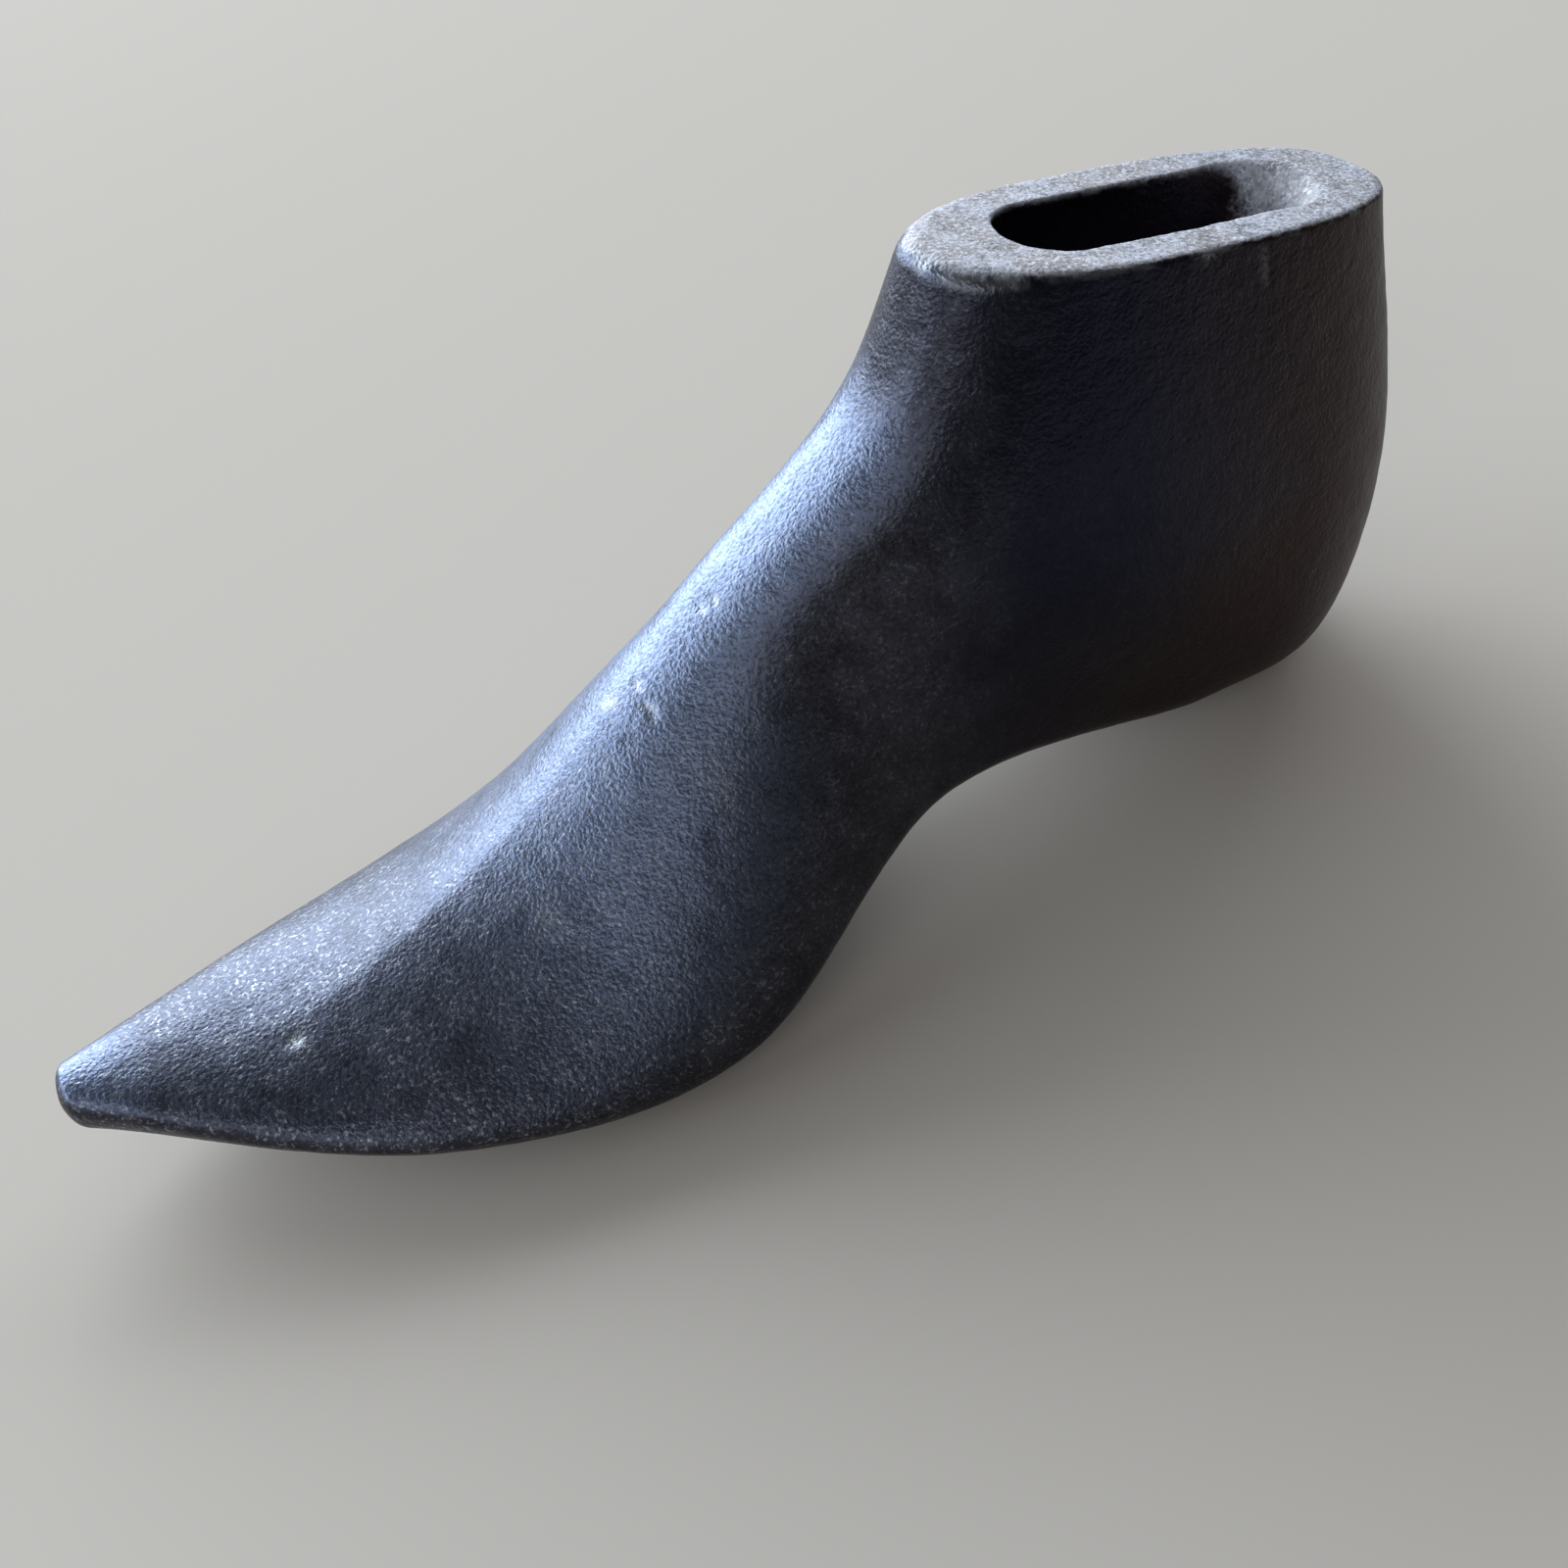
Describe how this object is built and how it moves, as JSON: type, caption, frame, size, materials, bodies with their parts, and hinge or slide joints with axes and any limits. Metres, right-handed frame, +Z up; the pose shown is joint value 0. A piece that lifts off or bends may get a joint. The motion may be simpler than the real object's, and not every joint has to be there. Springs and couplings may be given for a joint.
{
  "type": "shoe last",
  "caption": "Cast-iron shoe last with a pointed toe, arched sole and flat oval ankle rim; its oblong socket drops over a cobbler's stand.",
  "frame": {"origin": "on the resting plane, under the middle of the casting's box", "axes": "+X from heel to toe, +Y towards the outer side of the foot, +Z up with the last standing on its sole"},
  "size_m": [0.2384, 0.071, 0.098],
  "materials": {
    "blackened_iron": "blackened, worn satin"
  },
  "bodies": {
    "root": {"last_casting": "blackened_iron"}
  },
  "joints": []
}
